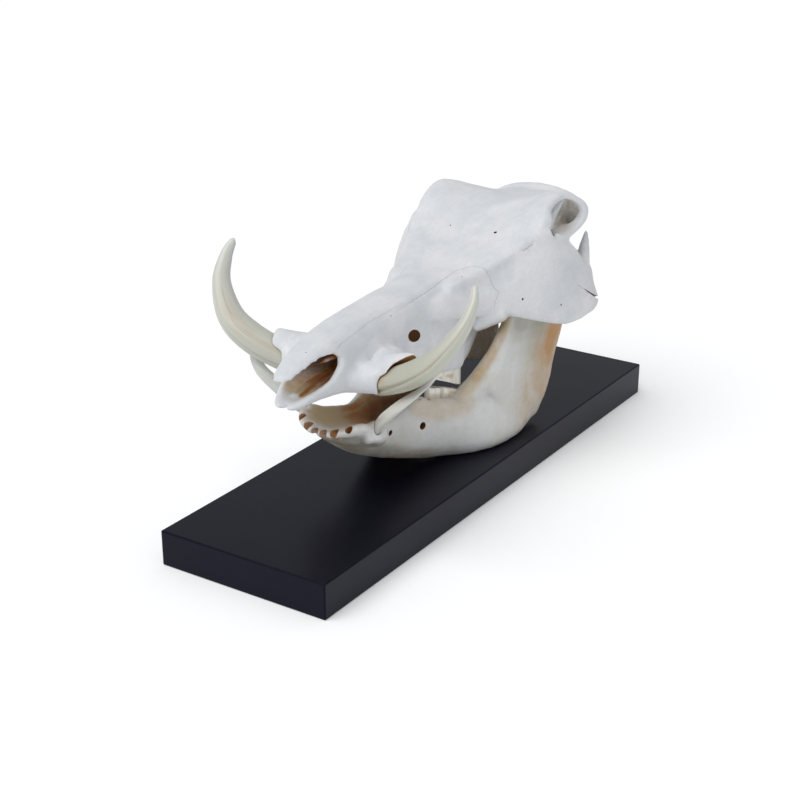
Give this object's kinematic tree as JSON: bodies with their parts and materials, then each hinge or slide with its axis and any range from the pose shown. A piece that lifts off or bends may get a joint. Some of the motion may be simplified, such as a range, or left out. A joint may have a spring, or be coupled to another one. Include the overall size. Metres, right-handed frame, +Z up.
{
  "type": "mounted warthog skull",
  "caption": "Warthog skull with long curved upper tusks and slender lower ones, its jaw in place, standing on a long flat black wooden board.",
  "frame": {"origin": "centre of the board's underside", "axes": "+Z up, the snout points to -Y, the animal's left side is +X"},
  "size_m": [0.2747, 0.6, 0.2653],
  "materials": {
    "board_lacquer": "satin black lacquer",
    "cranium_bone": "bleached white bone, matt",
    "mandible_bone": "bleached bone with tan stains, matt",
    "tusk_ivory": "cream ivory with long grooves, satin",
    "tooth_enamel": "white enamel, satin"
  },
  "bodies": {
    "root": {"board": "board_lacquer", "cranium": "cranium_bone", "mandible": "mandible_bone", "upper_tusk_left": "tusk_ivory", "upper_tusk_right": "tusk_ivory", "lower_tusk_left": "tusk_ivory", "lower_tusk_right": "tusk_ivory", "upper_third_molar_left": "tooth_enamel", "upper_third_molar_right": "tooth_enamel", "lower_third_molar_left": "tooth_enamel", "lower_third_molar_right": "tooth_enamel", "lower_second_molar_left": "tooth_enamel", "lower_second_molar_right": "tooth_enamel"}
  },
  "joints": []
}
